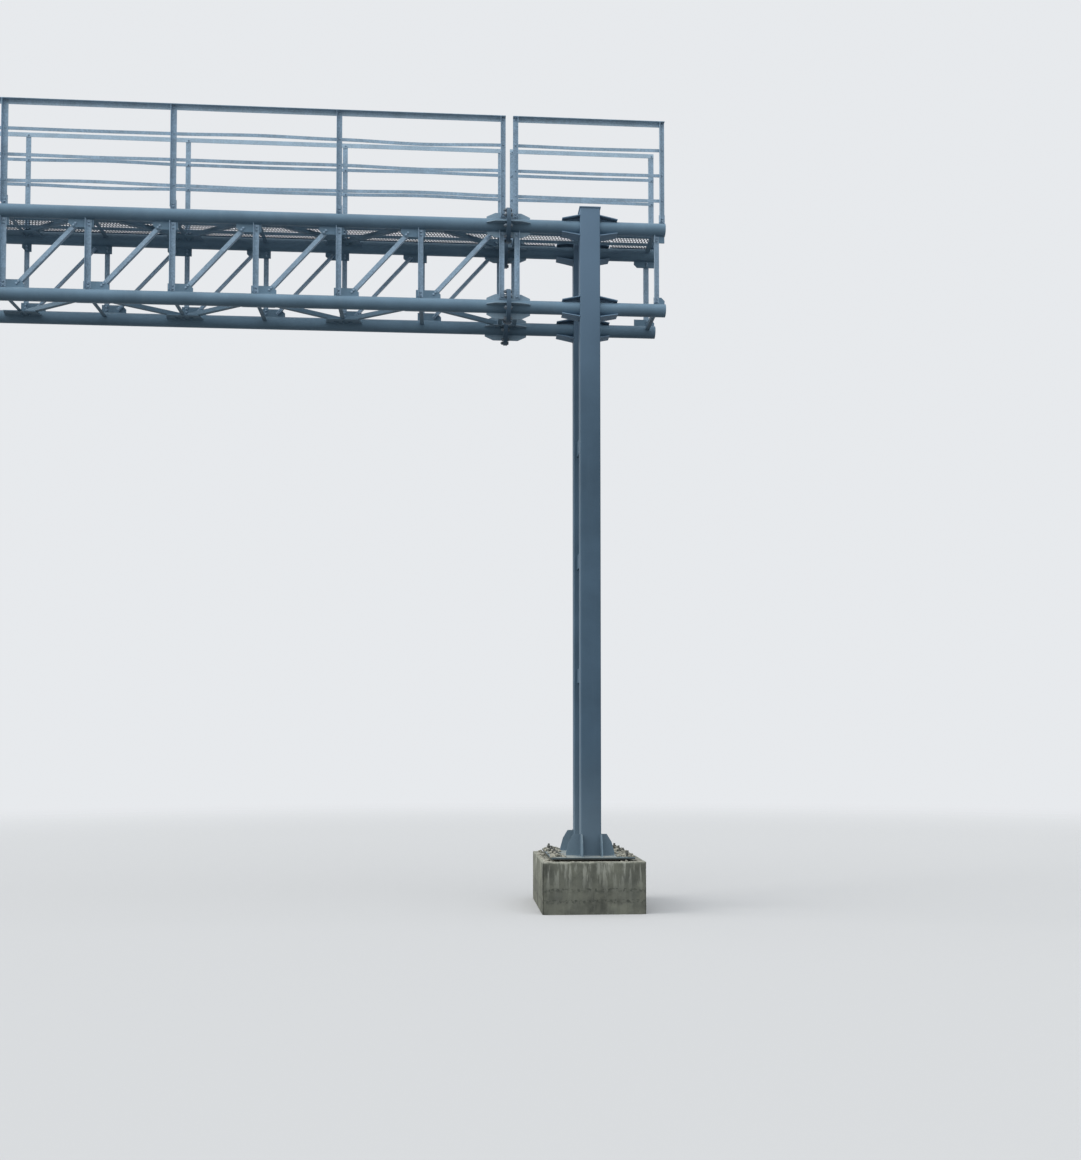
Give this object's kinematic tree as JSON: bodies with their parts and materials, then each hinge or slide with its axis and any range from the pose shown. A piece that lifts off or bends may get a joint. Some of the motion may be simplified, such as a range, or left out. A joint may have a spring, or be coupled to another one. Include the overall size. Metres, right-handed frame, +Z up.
{
  "type": "overhead sign gantry",
  "caption": "Overhead sign gantry leg with a two-branch column on a concrete block, carrying a tubular walkway truss with railings that ends at bolted splice flanges.",
  "frame": {"origin": "centre of the concrete block's underside, below the column's middle", "axes": "+Z up, X along the truss with the span running off towards -X, +Y away from the near face"},
  "size_m": [8.84, 1.74, 9.8135],
  "materials": {
    "concrete": "rough board-marked cast concrete",
    "mortar": "rough",
    "column_paint": "satin blue-grey paint",
    "truss_paint": "satin blue-grey paint",
    "railing_steel": "satin blue-grey paint",
    "mesh_steel": "dull galvanised"
  },
  "bodies": {
    "root": {"foundation_block": "concrete", "grout_bed": "mortar", "base_plate": "column_paint", "base_gussets": "column_paint", "column_front_branch": "column_paint", "column_rear_branch": "column_paint", "column_battens": "column_paint", "column_caps": "column_paint", "haunch_plates": "column_paint", "head_top_front_chord": "truss_paint", "head_top_rear_chord": "truss_paint", "head_bottom_front_chord": "truss_paint", "head_bottom_rear_chord": "truss_paint", "head_chord_caps": "truss_paint", "head_flanges": "truss_paint", "head_ribs": "truss_paint", "head_uprights": "truss_paint", "head_end_gussets": "truss_paint", "span_top_front_chord": "truss_paint", "span_top_rear_chord": "truss_paint", "span_bottom_front_chord": "truss_paint", "span_bottom_rear_chord": "truss_paint", "span_flanges": "truss_paint", "span_ribs": "truss_paint", "span_front_uprights": "truss_paint", "span_rear_uprights": "truss_paint", "span_front_diagonals": "truss_paint", "span_rear_diagonals": "truss_paint", "span_front_gussets": "truss_paint", "span_rear_gussets": "truss_paint", "top_cross_angles": "truss_paint", "bottom_cross_angles": "truss_paint", "top_plan_braces": "truss_paint", "bottom_plan_braces": "truss_paint", "plan_gussets": "truss_paint", "walkway_stringers": "truss_paint", "head_walkway": "mesh_steel", "span_walkway": "mesh_steel", "railing_lugs": "truss_paint", "front_railing_posts": "railing_steel", "rear_railing_posts": "railing_steel", "front_flat_rails": "railing_steel", "rear_flat_rails": "railing_steel", "front_handrails": "railing_steel", "rear_handrails": "railing_steel"}
  },
  "joints": []
}
